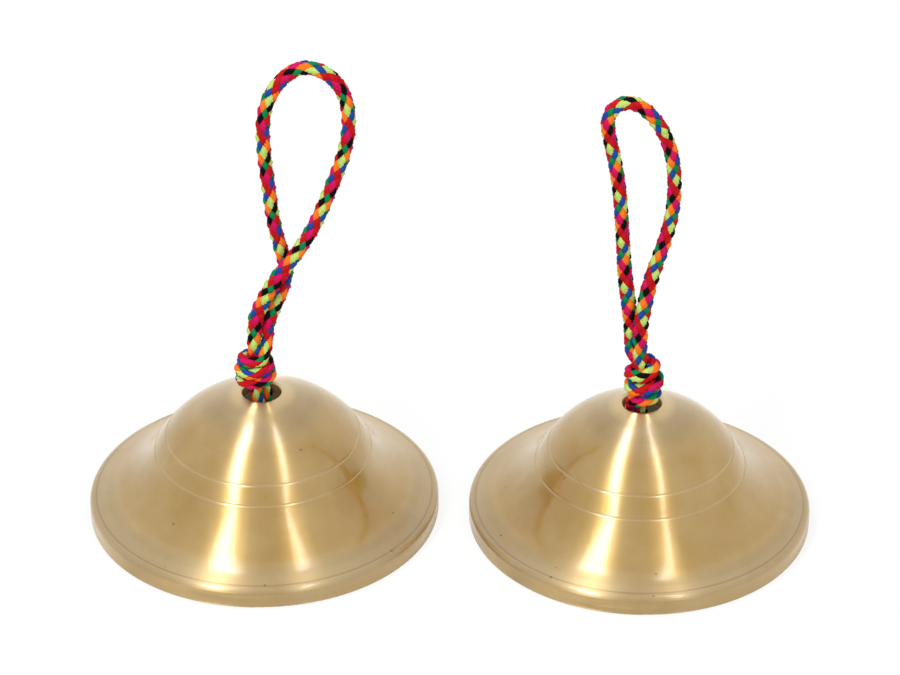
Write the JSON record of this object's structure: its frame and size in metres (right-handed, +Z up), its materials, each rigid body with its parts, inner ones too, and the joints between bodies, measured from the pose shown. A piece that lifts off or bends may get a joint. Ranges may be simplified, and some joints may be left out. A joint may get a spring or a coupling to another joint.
{
  "type": "tingsha cymbals",
  "caption": "Pair of turned brass bell-shaped hand cymbals with thick rims, each carried on a knotted, braided finger loop.",
  "frame": {"origin": "under the middle of the pair, on the surface that their rims stand on", "axes": "+Z up, +X from the left cymbal to the right one, -Y towards the viewer"},
  "size_m": [0.135, 0.0678, 0.095],
  "materials": {
    "brass": "turned",
    "cord": "braided"
  },
  "bodies": {
    "left_cymbal": {"left_cymbal": "brass"},
    "left_cord": {"left_top_knot": "cord", "left_stopper_knot": "cord", "left_loop_neck": "cord"},
    "left_loop": {"left_finger_loop": "cord"},
    "right_cymbal": {"right_cymbal": "brass"},
    "right_cord": {"right_top_knot": "cord", "right_stopper_knot": "cord", "right_loop_neck": "cord"},
    "right_loop": {"right_finger_loop": "cord"}
  },
  "joints": [
    {"name": "strike_slide", "type": "slide", "parent": "left_cymbal", "child": "right_cymbal", "axis": [1, 0, 0], "range_m": [-0.0054, 0.06]},
    {"name": "left_cord_swivel", "type": "hinge", "parent": "left_cymbal", "child": "left_cord", "pos_m": [-0.03475, 0.00115, 0.025], "axis": [0, 0, 1], "continuous": true},
    {"name": "left_loop_fold", "type": "hinge", "parent": "left_cord", "child": "left_loop", "pos_m": [-0.03475, 0.00115, 0.044], "axis": [1, 0, 0], "range_deg": [-115, 115], "stiffness_Nm_per_rad": 0.0005, "deforming": ["left_loop_neck"]},
    {"name": "right_cord_swivel", "type": "hinge", "parent": "right_cymbal", "child": "right_cord", "pos_m": [0.0356, -0.002, 0.025], "axis": [0, 0, 1], "continuous": true},
    {"name": "right_loop_fold", "type": "hinge", "parent": "right_cord", "child": "right_loop", "pos_m": [0.0356, -0.002, 0.044], "axis": [1, 0, 0], "range_deg": [-115, 115], "stiffness_Nm_per_rad": 0.0005, "deforming": ["right_loop_neck"]}
  ]
}
